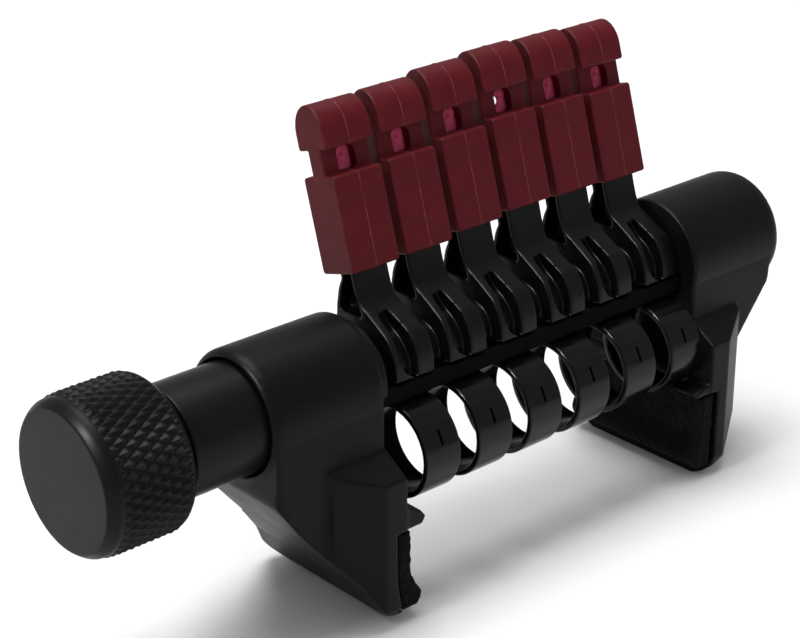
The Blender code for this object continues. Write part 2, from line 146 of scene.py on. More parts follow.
# Levers and heads: u is forward of the arm's centre line, and w is up along it
LEAN = radians(16.8)
HUB_RADIUS = 3.6
LEVER_HALF = 2.7
SPACER_RADIUS = 3.0
STOP_Z = -0.6
ARM_HALF = 2.45
ARM_FRONT = 0.35
ARM_BACK = -1.75
ARM_TOP = 19.0
HEAD_HALF = 3.25
HEAD_FRONT = 1.6
HEAD_BACK = -3.6
HEAD_BOTTOM = 10.4
HEAD_TRAVEL = 0.8
BLOCK_TOP = 20.8
NECK_FRONT = 0.15
NECK_BACK = -1.95
NECK_TOP = 23.6
CAP_SIDE = 25.3
CAP_TOP = 28.4
HOLE_W = (BLOCK_TOP + NECK_TOP) / 2
HOLE_HALF = 1.25
HOLE_HIGH = (NECK_TOP - BLOCK_TOP) / 2 - 0.1
WEB_FRONT = -0.85
WEB_BACK = -1.05
WEB_MARGIN = 0.05

# The string bands and their rail
BAND_Y = -3.55
BAND_Z = -8.7
BAND_RADIUS = 5.5
BAND_THICKNESS = 0.7
BAND_START = 74
BAND_END = 410
BAND_HALF = 2.45
RAIL_FRONT = -4.5
RAIL_TOP_BACK = -3.92
RAIL_BOTTOM_BACK = -2.95
RAIL_Z = (-2.85, -0.95)


# ---------------------------------------------------------------- outlines

def arc(centre, radius, start, end, steps):
    """Points on an arc, with its angles in degrees."""
    angles = [radians(start + (end - start) * i / steps) for i in range(steps + 1)]
    return [(centre[0] + radius * cos(a), centre[1] + radius * sin(a)) for a in angles]


def smooth_line(points, steps):
    """Points on a smooth curve through the given ones."""
    ends = [points[0]] + points + [points[-1]]
    result = []
    for i in range(len(points) - 1):
        a, b, c, d = (Vector(p) for p in ends[i:i + 4])
        for k in range(steps):
            t = k / steps
            result.append(0.5 * ((2 * b) + (c - a) * t + (2 * a - 5 * b + 4 * c - d) * t ** 2
                                 + (3 * b - a - 3 * c + d) * t ** 3))
    result.append(Vector(points[-1]))
    return [tuple(p) for p in result]


def rounded(points, steps=4):
    """A closed outline whose corners, given as (a, b, radius), are rounded."""
    result = []
    for i, (a, b, radius) in enumerate(points):
        corner = Vector((a, b))
        if not radius:
            result.append((a, b))
            continue
        back = (Vector(points[i - 1][:2]) - corner).normalized()
        onward = (Vector(points[(i + 1) % len(points)][:2]) - corner).normalized()
        half = back.angle(onward) / 2
        centre = corner + (back + onward).normalized() * radius / sin(half)
        start = corner + back * radius / tan(half) - centre
        end = corner + onward * radius / tan(half) - centre
        first = atan2(start.y, start.x)
        sweep = (atan2(end.y, end.x) - first + pi) % (2 * pi) - pi
        for k in range(steps + 1):
            angle = first + sweep * k / steps
            result.append((centre.x + radius * cos(angle), centre.y + radius * sin(angle)))
    return result


def outward(outline):
    """Each point's outward direction, made longer where the outline turns."""
    count = len(outline)
    area = sum(outline[i - 1][0] * outline[i][1] - outline[i][0] * outline[i - 1][1]
               for i in range(count))
    side = 1 if area > 0 else -1
    directions = []
    for i in range(count):
        before = (Vector(outline[i]) - Vector(outline[i - 1])).normalized()
        after = (Vector(outline[(i + 1) % count]) - Vector(outline[i])).normalized()
        one = Vector((before.y, -before.x)) * side
        two = Vector((after.y, -after.x)) * side
        directions.append((one + two) / max(0.4, 1 + one.dot(two)))
    return directions


def lean(u, w):
    """A point forward of an arm's centre line (u) and up along it (w), as Y and Z."""
    return (w * sin(LEAN) - u * cos(LEAN), w * cos(LEAN) + u * sin(LEAN))


def upright(y, z):
    """What lean was given, u and w, from its Y and Z. These may be arrays."""
    return (z * sin(LEAN) - y * cos(LEAN), z * cos(LEAN) + y * sin(LEAN))


# ---------------------------------------------------------------- meshes

def to_mesh(form, name="form"):
    bmesh.ops.recalc_face_normals(form, faces=form.faces)
    mesh = bpy.data.meshes.new(name)
    form.to_mesh(mesh)
    form.free()
    return mesh


def loft(outline, sections, axis):
    """Copies of an outline along an axis, each moved in by its own inset, joined into a closed form."""
    directions = outward(outline)
    form = bmesh.new()
    rings = []
    for along, inset in sections:
        ring = []
        for (a, b), way in zip(outline, directions):
            a, b = a - way.x * inset, b - way.y * inset
            place = {"X": (along, a, b), "Y": (a, along, b), "Z": (a, b, along)}[axis]
            ring.append(form.verts.new(place))
        rings.append(ring)
    count = len(outline)
    for one, two in zip(rings, rings[1:]):
        for i in range(count):
            form.faces.new((one[i - 1], one[i], two[i], two[i - 1]))
    caps = [form.faces.new(rings[0]), form.faces.new(rings[-1])]
    for cap in caps:
        cap.normal_update()
    bmesh.ops.triangulate(form, faces=caps, ngon_method="EAR_CLIP")
    return to_mesh(form)


def edge_sections(start, end, radius, steps=4):
    """Sections of a form whose two ends are rounded off."""
    turns = [radians(90 * k / steps) for k in range(steps + 1)]
    first = [(start + radius * (1 - sin(t)), radius * (1 - cos(t))) for t in reversed(turns)]
    last = [(end - radius * (1 - sin(t)), radius * (1 - cos(t))) for t in turns]
    return first + last


def prism(outline, start, end, axis):
    return loft(outline, [(start, 0), (end, 0)], axis)


def rod(radius, start, end, axis, centre=(0.0, 0.0), segments=64):
    """A closed cylinder, whose centre is its other two coordinates."""
    circle = arc(centre, radius, 180 / segments, 360 + 180 / segments, segments)[:-1]
    return prism(circle, start, end, axis)


def revolved(rings, segments, radius_at=None):
    """Rings of (x, radius) about the clamp's axis, closed by a point wherever the radius is 0.

    radius_at(index, angle) may change a ring's radius round its turn.
    """
    form = bmesh.new()
    made = []
    for index, (x, radius) in enumerate(rings):
        if radius == 0:
            made.append([form.verts.new((x, 0, 0))])
            continue
        ring = []
        for k in range(segments):
            angle = 2 * pi * k / segments
            r = radius_at(index, angle) if radius_at else radius
            ring.append(form.verts.new((x, r * cos(angle), r * sin(angle))))
        made.append(ring)
    if rings[0][1]:
        made.append(made[0])
    for one, two in zip(made, made[1:]):
        for k in range(segments):
            corner = [one[k - 1], one[k]] if len(one) > 1 else [one[0]]
            corner += [two[k], two[k - 1]] if len(two) > 1 else [two[0]]
            form.faces.new(corner)
    return to_mesh(form)


def applied(mesh, modifiers):
    """A mesh after the modifiers that set_up adds to a passing object."""
    obj = bpy.data.objects.new("passing", mesh)
    bpy.context.scene.collection.objects.link(obj)
    modifiers(obj)
    bpy.context.view_layer.update()
    evaluated = obj.evaluated_get(bpy.context.evaluated_depsgraph_get())
    result = bpy.data.meshes.new_from_object(evaluated)
    bpy.data.objects.remove(obj, do_unlink=True)
    return result


def combined(mesh, others, operation):
    """A mesh with others cut from it, joined to it, or keeping what they share."""
    tools = []

    def set_up(obj):
        for other in others:
            tool = bpy.data.objects.new("tool", other)
            bpy.context.scene.collection.objects.link(tool)
            tools.append(tool)
            modifier = obj.modifiers.new("Combine", "BOOLEAN")
            modifier.operation = operation
            modifier.solver = "EXACT"
            modifier.object = tool

    result = applied(mesh, set_up)
    for tool in tools:
        bpy.data.objects.remove(tool, do_unlink=True)
    return result


def remeshed(mesh, voxel):
    def set_up(obj):
        modifier = obj.modifiers.new("Remesh", "REMESH")
        modifier.mode = "VOXEL"
        modifier.voxel_size = voxel

    return applied(mesh, set_up)


def thinned(mesh, share):
    def set_up(obj):
        modifier = obj.modifiers.new("Thin", "DECIMATE")
        modifier.ratio = share

    return applied(mesh, set_up)


def points_of(mesh):
    co = np.empty(len(mesh.vertices) * 3)
    mesh.vertices.foreach_get("co", co)
    return co.reshape(-1, 3)


def set_points(mesh, co):
    mesh.vertices.foreach_set("co", co.ravel())
    mesh.update()


def soften(mesh, rounds, amount=None):
    """Rounds edges and hollows by moving each point towards its neighbours' mean.

    amount, from 0 to 1 for each point, limits where.
    """
    co = points_of(mesh)
    edges = np.empty(len(mesh.edges) * 2, int)
    mesh.edges.foreach_get("vertices", edges)
    a, b = edges.reshape(-1, 2).T
    valence = np.bincount(np.concatenate((a, b)), minlength=len(co))[:, None]
    step = 0.5 if amount is None else 0.5 * amount[:, None]
    for _ in range(rounds):
        total = np.stack([np.bincount(a, co[b, k], len(co)) + np.bincount(b, co[a, k], len(co))
                          for k in range(3)], axis=1)
        co = co + (total / valence - co) * step
    set_points(mesh, co)


def bump(low, high, value):
    """0 below low, 1 above high, and smooth between, for an array."""
    t = np.clip((value - low) / (high - low), 0, 1)
    return t * t * (3 - 2 * t)


def weighted(mesh, angle=40):
    """Shades a form smooth, with its flat faces left flat."""
    mesh.shade_smooth()
    mesh.set_sharp_from_angle(angle=radians(angle))

    def set_up(obj):
        modifier = obj.modifiers.new("Normals", "WEIGHTED_NORMAL")
        modifier.keep_sharp = True

    return applied(mesh, set_up)


def cad_form(node):
    """A copy of a node's mesh, welded, in millimetres about the clamp's axis."""
    form = bmesh.new()
    form.from_mesh(frame["nodes"][node].data)
    bmesh.ops.remove_doubles(form, verts=form.verts, dist=0.000001)
    scale = Matrix.Scale(1 / MM, 4)
    bmesh.ops.transform(form, matrix=Matrix.Translation((0, 0, -AXIS_Z)) @ scale, verts=form.verts)
    return to_mesh(form)


def place(name, mesh, material, node, x=0.0):
    """Puts a form drawn about the clamp's axis in the frame, in place of a node."""
    obj = bpy.data.objects.new(name, mesh)
    bpy.context.scene.collection.objects.link(obj)
    obj.location = (x * MM, 0, AXIS_Z * MM)
    mesh.materials.clear()
    mesh.materials.append(material)
    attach(obj, frame["nodes"][node]["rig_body"])
    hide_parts(node)
    return obj


def in_metres(mesh):
    mesh.transform(Matrix.Scale(MM, 4))
    return mesh


# ---------------------------------------------------------------- materials

def shader_of(name, colour, roughness, metallic=0.0, **sockets):
    """A new material's node tree and its Principled shader, with its constant values set."""
    material = bpy.data.materials.new(name)
    material.use_nodes = True
    shader = material.node_tree.nodes["Principled BSDF"]
    shader.inputs["Base Color"].default_value = (*colour, 1.0)
    shader.inputs["Roughness"].default_value = roughness
    shader.inputs["Metallic"].default_value = metallic
    for socket, value in sockets.items():
        shader.inputs[socket.replace("_", " ")].default_value = value
    return material, material.node_tree, shader


def coordinates(tree, stretch=(1.0, 1.0, 1.0)):
    """The surface's own coordinates, in millimetres, stretched along each axis."""
    source = tree.nodes.new("ShaderNodeTexCoord")
    scale = tree.nodes.new("ShaderNodeMapping")
    scale.inputs["Scale"].default_value = [s / MM for s in stretch]
    tree.links.new(source.outputs["Object"], scale.inputs["Vector"])
    return scale.outputs["Vector"]


def grain(tree, vector, scale, detail=2.0, roughness=0.5):
    """Noise with this many grains to a millimetre."""
    node = tree.nodes.new("ShaderNodeTexNoise")
    node.inputs["Scale"].default_value = scale
    node.inputs["Detail"].default_value = detail
    node.inputs["Roughness"].default_value = roughness
    tree.links.new(vector, node.inputs["Vector"])
    return node.outputs["Fac"]


def ramp(tree, factor, stops):
    """Colours or greys between stops of (position, colour)."""
    node = tree.nodes.new("ShaderNodeValToRGB")
    elements = node.color_ramp.elements
    while len(elements) < len(stops):
        elements.new(0.5)
    for element, (position, colour) in zip(elements, stops):
        if isinstance(colour, (int, float)):
            colour = (colour,) * 3
        element.position = position
        element.color = (*colour, 1.0)
    tree.links.new(factor, node.inputs["Fac"])
    return node.outputs["Color"]


def relief(tree, shader, layers):
    """Bump of one or more heights, given as (height, strength, depth in millimetres)."""
    normal = None
    for height, strength, depth in layers:
        node = tree.nodes.new("ShaderNodeBump")
        node.inputs["Strength"].default_value = strength
        node.inputs["Distance"].default_value = depth * MM
        tree.links.new(height, node.inputs["Height"])
        if normal:
            tree.links.new(normal, node.inputs["Normal"])
        normal = node.outputs["Normal"]
    tree.links.new(normal, shader.inputs["Normal"])


def satin_coating():
    """The jaws: a satin black coat with a fine orange peel and a few paler specks."""
    material, tree, shader = shader_of("satin_coating", (0.0033, 0.0033, 0.0036), 0.38,
                                       Specular_IOR_Level=0.1)
    here = coordinates(tree)
    broad = grain(tree, here, 0.12, 3)
    fine = grain(tree, here, 6.0, 3)
    specks = grain(tree, here, 2.6, 1)
    colour = ramp(tree, specks, [(0.0, (0.0022, 0.0022, 0.0024)), (0.7, (0.0036, 0.0036, 0.0038)),
                                 (0.8, (0.012, 0.012, 0.013))])
    tree.links.new(colour, shader.inputs["Base Color"])
    tree.links.new(ramp(tree, broad, [(0.3, 0.36), (0.7, 0.46)]), shader.inputs["Roughness"])
    relief(tree, shader, [(fine, 0.35, 0.02), (broad, 0.2, 0.1)])
    return material


def anodised(name, colour, roughness, stretch):
    """Black anodised aluminium, with fine turning marks that run the long way of the stretch, and fine
    grit whose paler specks are painted glints.
    """
    material, tree, shader = shader_of(name, colour, roughness, 0.22, Specular_IOR_Level=0.13)
    here = coordinates(tree, stretch)
    marks = grain(tree, here, 1.0, 3, 0.6)
    grit_and_painted_glints = grain(tree, coordinates(tree), 9.0, 2)
    darker = tuple(c * 0.7 for c in colour)
    painted_glint_colour = tuple(c * 2.6 for c in colour)
    # Painted glints: the paler specks in this colour stand for the sparkle of the blasted face; the same
    # noise also gives a real fine bump.
    tree.links.new(ramp(tree, grit_and_painted_glints, [(0.3, darker), (0.66, colour), (0.74, painted_glint_colour)]),
                   shader.inputs["Base Color"])
    tree.links.new(ramp(tree, marks, [(0.3, roughness - 0.03), (0.7, roughness + 0.04)]),
                   shader.inputs["Roughness"])
    relief(tree, shader, [(marks, 0.12, 0.01), (grit_and_painted_glints, 0.3, 0.01)])
    return material


def moulded_nylon():
    """The levers: glass-filled black nylon, semi-gloss, with a faint moulded grain."""
    material, tree, shader = shader_of("moulded_nylon", (0.003, 0.003, 0.0033), 0.3,
                                       Specular_IOR_Level=0.14)
    here = coordinates(tree)
    broad = grain(tree, here, 0.5, 2)
    fine = grain(tree, here, 7.0, 3)
    colour = ramp(tree, broad, [(0.3, (0.002, 0.002, 0.0022)), (0.75, (0.004, 0.004, 0.0043))])
    tree.links.new(colour, shader.inputs["Base Color"])
    tree.links.new(ramp(tree, broad, [(0.3, 0.26), (0.7, 0.38)]), shader.inputs["Roughness"])
    relief(tree, shader, [(fine, 0.25, 0.012), (broad, 0.25, 0.05)])
    return material


def glossy_plastic():
    """The bands: glossy black, with slight flow marks."""
    material, tree, shader = shader_of("glossy_plastic", (0.003, 0.003, 0.0033), 0.16,
                                       Specular_IOR_Level=0.18)
    flow = grain(tree, coordinates(tree, (0.5, 2.0, 2.0)), 0.6, 3)
    fine = grain(tree, coordinates(tree), 6.0, 2)
    tree.links.new(ramp(tree, flow, [(0.3, (0.002, 0.002, 0.0022)), (0.7, (0.004, 0.004, 0.0043))]),
                   shader.inputs["Base Color"])
    tree.links.new(ramp(tree, flow, [(0.3, 0.12), (0.7, 0.22)]), shader.inputs["Roughness"])
    relief(tree, shader, [(flow, 0.3, 0.06), (fine, 0.2, 0.008)])
    return material


def rail_plastic_painted_shade():
    """The rail: matt black, filled and unpolished, its colour kept darkest of the blacks as painted shade
    for the levers' shadow over it.
    """
    material, tree, shader = shader_of("rail_plastic_painted_shade", (0.002, 0.002, 0.0022), 0.8,
                                       Specular_IOR_Level=0.05)
    fibre = grain(tree, coordinates(tree, (0.6, 4.0, 4.0)), 1.0, 4, 0.6)
    # Painted shade: this near-black colour stands for the shadow under the levers.
    colour = ramp(tree, fibre, [(0.3, (0.0014, 0.0014, 0.0016)), (0.75, (0.0035, 0.0035, 0.0037))])
    tree.links.new(colour, shader.inputs["Base Color"])
    tree.links.new(ramp(tree, fibre, [(0.3, 0.7), (0.7, 0.9)]), shader.inputs["Roughness"])
    relief(tree, shader, [(fibre, 0.4, 0.05)])
    return material


def math_node(tree, operation, one, two):
    """One sum or comparison of two values, each of which is a socket or a number."""
    node = tree.nodes.new("ShaderNodeMath")
    node.operation = operation
    for value, socket in zip((one, two), node.inputs):
        if isinstance(value, (int, float)):
            socket.default_value = value
        else:
            tree.links.new(value, socket)
    return node.outputs["Value"]


def parting_line(tree):
    """How much of a surface is the flash of its parting line, on the plane across its own middle."""
    axes = tree.nodes.new("ShaderNodeSeparateXYZ")
    tree.links.new(coordinates(tree), axes.inputs["Vector"])
    waver = grain(tree, coordinates(tree), 1.4, 2)
    off = math_node(tree, "ADD", axes.outputs["X"], math_node(tree, "MULTIPLY", waver, 0.16))
    away = math_node(tree, "ABSOLUTE", math_node(tree, "ADD", off, -0.08), 0.0)
    line = ramp(tree, away, [(0.03, 0.75), (0.085, 0.0)])
    worn = ramp(tree, grain(tree, coordinates(tree), 0.9, 3, 0.7), [(0.4, 0.3), (0.6, 1.0)])
    return math_node(tree, "MULTIPLY", line, worn)


def red_rubber():
    """The heads: dark red moulded rubber, mottled and dusty, and pale along its parting line."""
    material, tree, shader = shader_of("red_rubber", (0.085, 0.005, 0.009), 0.5,
                                       Specular_IOR_Level=0.15)
    here = coordinates(tree)
    broad = grain(tree, here, 0.35, 4, 0.6)
    fine = grain(tree, here, 5.0, 4, 0.6)
    dust = grain(tree, here, 3.2, 1)
    base = ramp(tree, broad, [(0.25, (0.076, 0.0016, 0.0045)), (0.55, (0.09, 0.0022, 0.0056)),
                              (0.8, (0.108, 0.0038, 0.0078))])
    mix = tree.nodes.new("ShaderNodeMix")
    mix.data_type = "RGBA"
    mix.inputs["B"].default_value = (0.2, 0.06, 0.07, 1.0)
    specks = ramp(tree, dust, [(0.73, 0.0), (0.82, 0.5)])
    pale = math_node(tree, "MAXIMUM", specks, parting_line(tree))
    tree.links.new(pale, mix.inputs["Factor"])
    tree.links.new(base, mix.inputs["A"])
    tree.links.new(mix.outputs["Result"], shader.inputs["Base Color"])
    tree.links.new(ramp(tree, fine, [(0.3, 0.44), (0.7, 0.6)]), shader.inputs["Roughness"])
    relief(tree, shader, [(fine, 0.3, 0.02), (broad, 0.3, 0.08)])
    return material


def web_with_painted_glow():
    """The webs in the heads' holes: the same rubber, so thin that some light comes through, but painted
    much paler than the heads as painted glow of the light behind them.
    """
    material, tree, shader = shader_of("web_with_painted_glow", (0.2, 0.02, 0.03), 0.5, Specular_IOR_Level=0.15,
                                       Subsurface_Weight=0.3, Subsurface_Scale=0.001,
                                       Subsurface_Radius=(4.0, 2.0, 2.4))
    mottle = grain(tree, coordinates(tree), 1.1, 3, 0.6)
    # Painted glow: this colour is several times paler than the heads' rubber, for light shining through
    # the web.
    tree.links.new(ramp(tree, mottle, [(0.35, (0.16, 0.004, 0.011)), (0.65, (0.46, 0.03, 0.06))]),
                   shader.inputs["Base Color"])
    relief(tree, shader, [(mottle, 0.3, 0.05)])
    return material


def rough_pad():
    """The pads: coarse black felted rubber."""
    material, tree, shader = shader_of("rough_pad", (0.004, 0.004, 0.0045), 0.95,
                                       Specular_IOR_Level=0.08, Sheen_Weight=0.03, Sheen_Roughness=0.5)
    here = coordinates(tree)
    fibre = grain(tree, here, 4.0, 5, 0.7)
    clump = grain(tree, here, 1.2, 3, 0.6)
    tree.links.new(ramp(tree, fibre, [(0.3, (0.001, 0.001, 0.0011)), (0.6, (0.003, 0.003, 0.0032)),
                                      (0.8, (0.018, 0.018, 0.0185))]), shader.inputs["Base Color"])
    tree.links.new(ramp(tree, clump, [(0.3, 0.85), (0.7, 1.0)]), shader.inputs["Roughness"])
    relief(tree, shader, [(clump, 0.6, 0.3), (fibre, 0.8, 0.15)])
    return material


def turned_metal(name, colour, dark, roughness):
    """Bare turned metal, with rings of tool marks along X and a little tarnish."""
    material, tree, shader = shader_of(name, colour, roughness, 1.0)
    marks = grain(tree, coordinates(tree, (9.0, 0.25, 0.25)), 1.0, 3, 0.6)
    tarnish = grain(tree, coordinates(tree), 0.6, 4, 0.6)
    tree.links.new(ramp(tree, tarnish, [(0.3, dark), (0.65, colour)]), shader.inputs["Base Color"])
    tree.links.new(ramp(tree, marks, [(0.3, roughness - 0.08), (0.7, roughness + 0.1)]),
                   shader.inputs["Roughness"])
    relief(tree, shader, [(marks, 0.4, 0.02)])
    return material


# ---------------------------------------------------------------- adjuster

def knurl_height(x, angle):
    """How far up its diamond a point of the knurl lies, from 0 in a groove to 1 at a peak."""
    turn = angle * KNURL_STARTS / (2 * pi)
    along = x / KNURL_PITCH
    crossing = []
    for phase in (turn + along, turn - along):
        crossing.append(1 - abs(2 * (phase % 1.0) - 1))
    return min(crossing)


def knob_mesh():
    """A flat face, a smooth shoulder, a diamond knurl that fades into its chamfers, and a bore."""
    start = KNOB_FACE + SHOULDER_LENGTH
    end = KNOB_REAR - 0.75
    step = KNURL_PITCH / KNURL_SAMPLES
    count = round((end - start) / step)
    rise = KNOB_SHOULDER - 0.1 - KNOB_FACE_RADIUS
    rings = [(KNOB_FACE, 0), (KNOB_FACE, KNOB_FACE_RADIUS - 0.3), (KNOB_FACE, KNOB_FACE_RADIUS - 0.08),
             (KNOB_FACE + 0.03, KNOB_FACE_RADIUS)]
    rings += [(KNOB_FACE + 0.05 + (SHOULDER_LENGTH - 0.3) * k / 10,
               KNOB_FACE_RADIUS + rise * sin(radians(9 * k)) ** 0.9) for k in range(1, 11)]
    rings += [(start - 0.1, KNOB_SHOULDER - 0.1)]
    first = len(rings)
    rings += [(start + step * k, KNOB_RADIUS) for k in range(count + 1)]
    last = len(rings)
    rings += [(KNOB_REAR - 0.35, KNOB_RADIUS - 0.6), (KNOB_REAR - 0.05, KNOB_FACE_RADIUS),
              (KNOB_REAR, KNOB_FACE_RADIUS - 0.2), (KNOB_REAR, SPINDLE_RADIUS + GAP + 0.2),
              (KNOB_REAR - 0.2, SPINDLE_RADIUS + GAP), (KNOB_REAR - 6.5, SPINDLE_RADIUS + GAP),
              (KNOB_REAR - 6.5, 0)]

    def radius_at(index, angle):
        x, radius = rings[index]
        if not first <= index < last:
            return radius
        edge = min(index - first, last - 1 - index) / KNURL_SAMPLES
        chamfer = 0.3 * max(0.0, 1 - edge / 0.3)
        return radius - max(chamfer, KNURL_DEPTH * (1 - knurl_height(x, angle)))

    return revolved(rings, KNURL_STARTS * KNURL_SEGMENTS, radius_at)


def make_knob():
    mesh = knob_mesh()
    mesh.shade_smooth()
    mesh.set_sharp_from_angle(angle=radians(28))
    dark = anodised("anodised_knob", (0.0058, 0.0058, 0.0064), 0.4, (0.4, 0.4, 0.4))
    place("knurled_knob", in_metres(mesh), dark, "knob")


def thread_mesh(start, end, radius, pitch, depth, segments=48, samples=8):
    """A screw with a left-hand thread and chamfered ends."""
    count = round((end - start) / pitch * samples)
    rings = [(start, 0), (start, radius - THREAD_CHAMFER)]
    rings += [(start + (end - start) * k / count, radius) for k in range(1, count)]
    rings += [(end, radius - THREAD_CHAMFER), (end, 0)]

    def radius_at(index, angle):
        x, full = rings[index]
        if index in (1, len(rings) - 2):
            return full
        ends = min(x - start, end - x)
        phase = (x / pitch + angle / (2 * pi)) % 1.0
        return min(full - depth * abs(2 * phase - 1), full - THREAD_CHAMFER + ends)

    return revolved(rings, segments, radius_at)


def make_spindle(metal):
    low, high = corners("spindle")
    mesh = thread_mesh(low.x, high.x, SPINDLE_RADIUS, THREAD_PITCH, THREAD_DEPTH)
    mesh.shade_smooth()
    mesh.set_sharp_from_angle(angle=radians(30))
    place("threaded_spindle", in_metres(mesh), metal, "spindle")


def chamfered_ring(start, end, inner, outer, chamfer):
    """Rings of a tube with chamfered edges."""
    return [(start, inner + chamfer), (start, outer - chamfer), (start + chamfer, outer),
            (end - chamfer, outer), (end, outer - chamfer), (end, inner + chamfer),
            (end - chamfer, inner), (start + chamfer, inner)]


def make_washer(metal):
    low, high = corners("thrust_washer")
    rings = chamfered_ring(low.x, high.x, SPINDLE_RADIUS + GAP, BARREL_RADIUS - 0.5, 0.12)
    place("bearing_washer", in_metres(weighted(revolved(rings, 128))), metal, "thrust_washer")


def make_barrel():
    """The fixed tube: chamfered, bored for the spindle and for the shaft, and slotted for the pin."""
    rings = [(BARREL_START, 0), (BARREL_START, BARREL_RADIUS - 0.25),
             (BARREL_START + 0.06, BARREL_RADIUS - 0.1), (BARREL_START + 0.25, BARREL_RADIUS),
             (BARREL_END - 0.3, BARREL_RADIUS), (BARREL_END - 0.1, BARREL_RADIUS - 0.1),
             (BARREL_END, BARREL_RADIUS - 0.3), (BARREL_END, 0)]
    start, end, half = NUT_X - SLOT_BACK, NUT_X + SLOT_FRONT, PIN_RADIUS + GAP
    slot = rounded([(x, y, half - 0.01) for x, y in ((start, -half), (end, -half), (end, half),
                                                     (start, half))], 8)
    cuts = [rod(BARREL_BORE, BARREL_START - 1, BARREL_BORE_END, "X"),
            rod(SHAFT_RADIUS + GAP, SHAFT_BORE_START, BARREL_END + 1, "X"),
            prism(slot, -BARREL_RADIUS - 1, -2, "Z"),
            prism(rail_outline(GAP, -BARREL_RADIUS - 1), RAIL_NOTCH_START, BARREL_END + 1, "X")]
    mesh = combined(revolved(rings, 128), cuts, "DIFFERENCE")
    dark = anodised("anodised_barrel", (0.006, 0.006, 0.0065), 0.36, (6.0, 0.3, 0.3))
    place("barrel_tube", in_metres(weighted(mesh)), dark, "barrel")


def make_nut(metal):
    low, high = corners("spindle_nut")
    rings = chamfered_ring(low.x, high.x, SPINDLE_RADIUS + GAP, BARREL_BORE - GAP, 0.2)
    hole = rod(PIN_RADIUS + GAP, -BARREL_BORE - 1, -1.5, "Z", (NUT_X, 0))
    mesh = combined(revolved(rings, 96), [hole], "DIFFERENCE")
    place("brass_nut", in_metres(weighted(mesh)), metal, "spindle_nut")


def make_pin(metal):
    """The pin that carries the nut's pull to the jaw, with a chamfer at each end."""
    low, high = corners("drive_pin")
    circle = arc((NUT_X, 0), PIN_RADIUS, 0, 360, 32)[:-1]
    bottom, top = low.z - AXIS_Z, high.z - AXIS_Z
    sections = [(bottom, 0.2), (bottom + 0.2, 0), (top - 0.2, 0), (top, 0.2)]
    place("carrier_pin", in_metres(weighted(loft(circle, sections, "Z"))), metal, "drive_pin")


# ---------------------------------------------------------------- jaws

def rounded_jaw(node, housing_start, housing_end):
    """The jaw's own form with a true round housing, softened as a cast and coated part is."""
    mesh = remeshed(cad_form(node), 0.19)
    co = points_of(mesh)
    radius = np.hypot(co[:, 1], co[:, 2])
    housing = (co[:, 0] > housing_start) & (co[:, 0] < housing_end)
    for true in (JAW_RADIUS, BORE_RADIUS):
        near = housing & (np.abs(radius - true) < 0.06)
        co[near, 1:] *= (true / radius[near])[:, None]
    set_points(mesh, co)
    soften(mesh, 3)
    return mesh


def flare(mesh):
    """Swings the lower end of the sliding jaw and its pad a little toward the neck."""
    co = points_of(mesh)
    low = 1 - bump(FLARE_BOTTOM, FLARE_TOP, co[:, 2])
    inner = np.clip((co[:, 0] - LEFT_FACE + FLARE_START) / FLARE_REACH, 0, 1)
    co[:, 0] += FLARE * low * inner
    set_points(mesh, co)


def make_left_jaw(coating):
    """The sliding jaw, whose arm runs into its housing in one soft hollow."""
    mouth = corners("left_jaw")[0].x
    mesh = rounded_jaw("left_jaw", mouth + 1.0, LEFT_FACE - 0.4)
    co = points_of(mesh)
    outer = np.clip(np.hypot(co[:, 1], co[:, 2]) - BORE_RADIUS - 0.3, 0, 0.3) / 0.3
    hollow = 1 - bump(0.0, 2.2, np.abs(co[:, 2] - HOLLOW_Z))
    hollow = hollow * bump(5.5, 9.5, LEFT_FACE - co[:, 0])
    tip = 1 - bump(TIP_BOTTOM, TIP_TOP, co[:, 2])
    soften(mesh, 40, np.maximum(hollow * outer, tip))
    flare(mesh)
    soften(mesh, 60, tip)
    mesh.shade_smooth()
    place("sliding_jaw", in_metres(mesh), coating, "left_jaw")


def make_right_jaw(coating):
    end = corners("right_jaw")[1].x
    mesh = rounded_jaw("right_jaw", RIGHT_FACE + 0.4, end - 2.0)
    mesh.shade_smooth()
    place("fixed_jaw", in_metres(mesh), coating, "right_jaw")


def fuzzy(mesh, depth, seed):
    """Roughens a form as torn felt is, at two sizes."""
    mesh.update()
    co = points_of(mesh)
    shift = Vector((seed, 0, 0))
    moved = np.empty_like(co)
    for i, vertex in enumerate(mesh.vertices):
        at = vertex.co + shift
        height = noise.noise(at * 1.3) * 0.6 + noise.noise(at * 3.7) * 0.5 - 0.3
        moved[i] = vertex.co + vertex.normal * height * depth
    set_points(mesh, moved)


def make_pad(name, node, side, face, material):
    """A pad, thickest at its lower lip, with a worn and fuzzy face."""
    bottom, top = (corners(node)[i].z - AXIS_Z for i in (0, 1))
    outline = rounded([(face + side * PAD_BACK, top, 0.1), (face - side * PAD_PROUD, top, 0.35),
                       (face - side * PAD_PROUD, -19.8, 1.0), (face - side * 1.9, -22.4, 0.5),
                       (face - side * 1.6, -23.3, 0.3), (face - side * 0.9, bottom + 0.05, 0.2),
                       (face + side * PAD_BACK, bottom + 0.05, 0.1)], 3)
    mesh = remeshed(loft(outline, edge_sections(-PAD_HALF, PAD_HALF, 0.3), "Y"), 0.2)
    fuzzy(mesh, 0.14, side * 20)
    if side < 0:
        flare(mesh)
    mesh.shade_smooth()
    pad = place(name, in_metres(mesh), material, node)


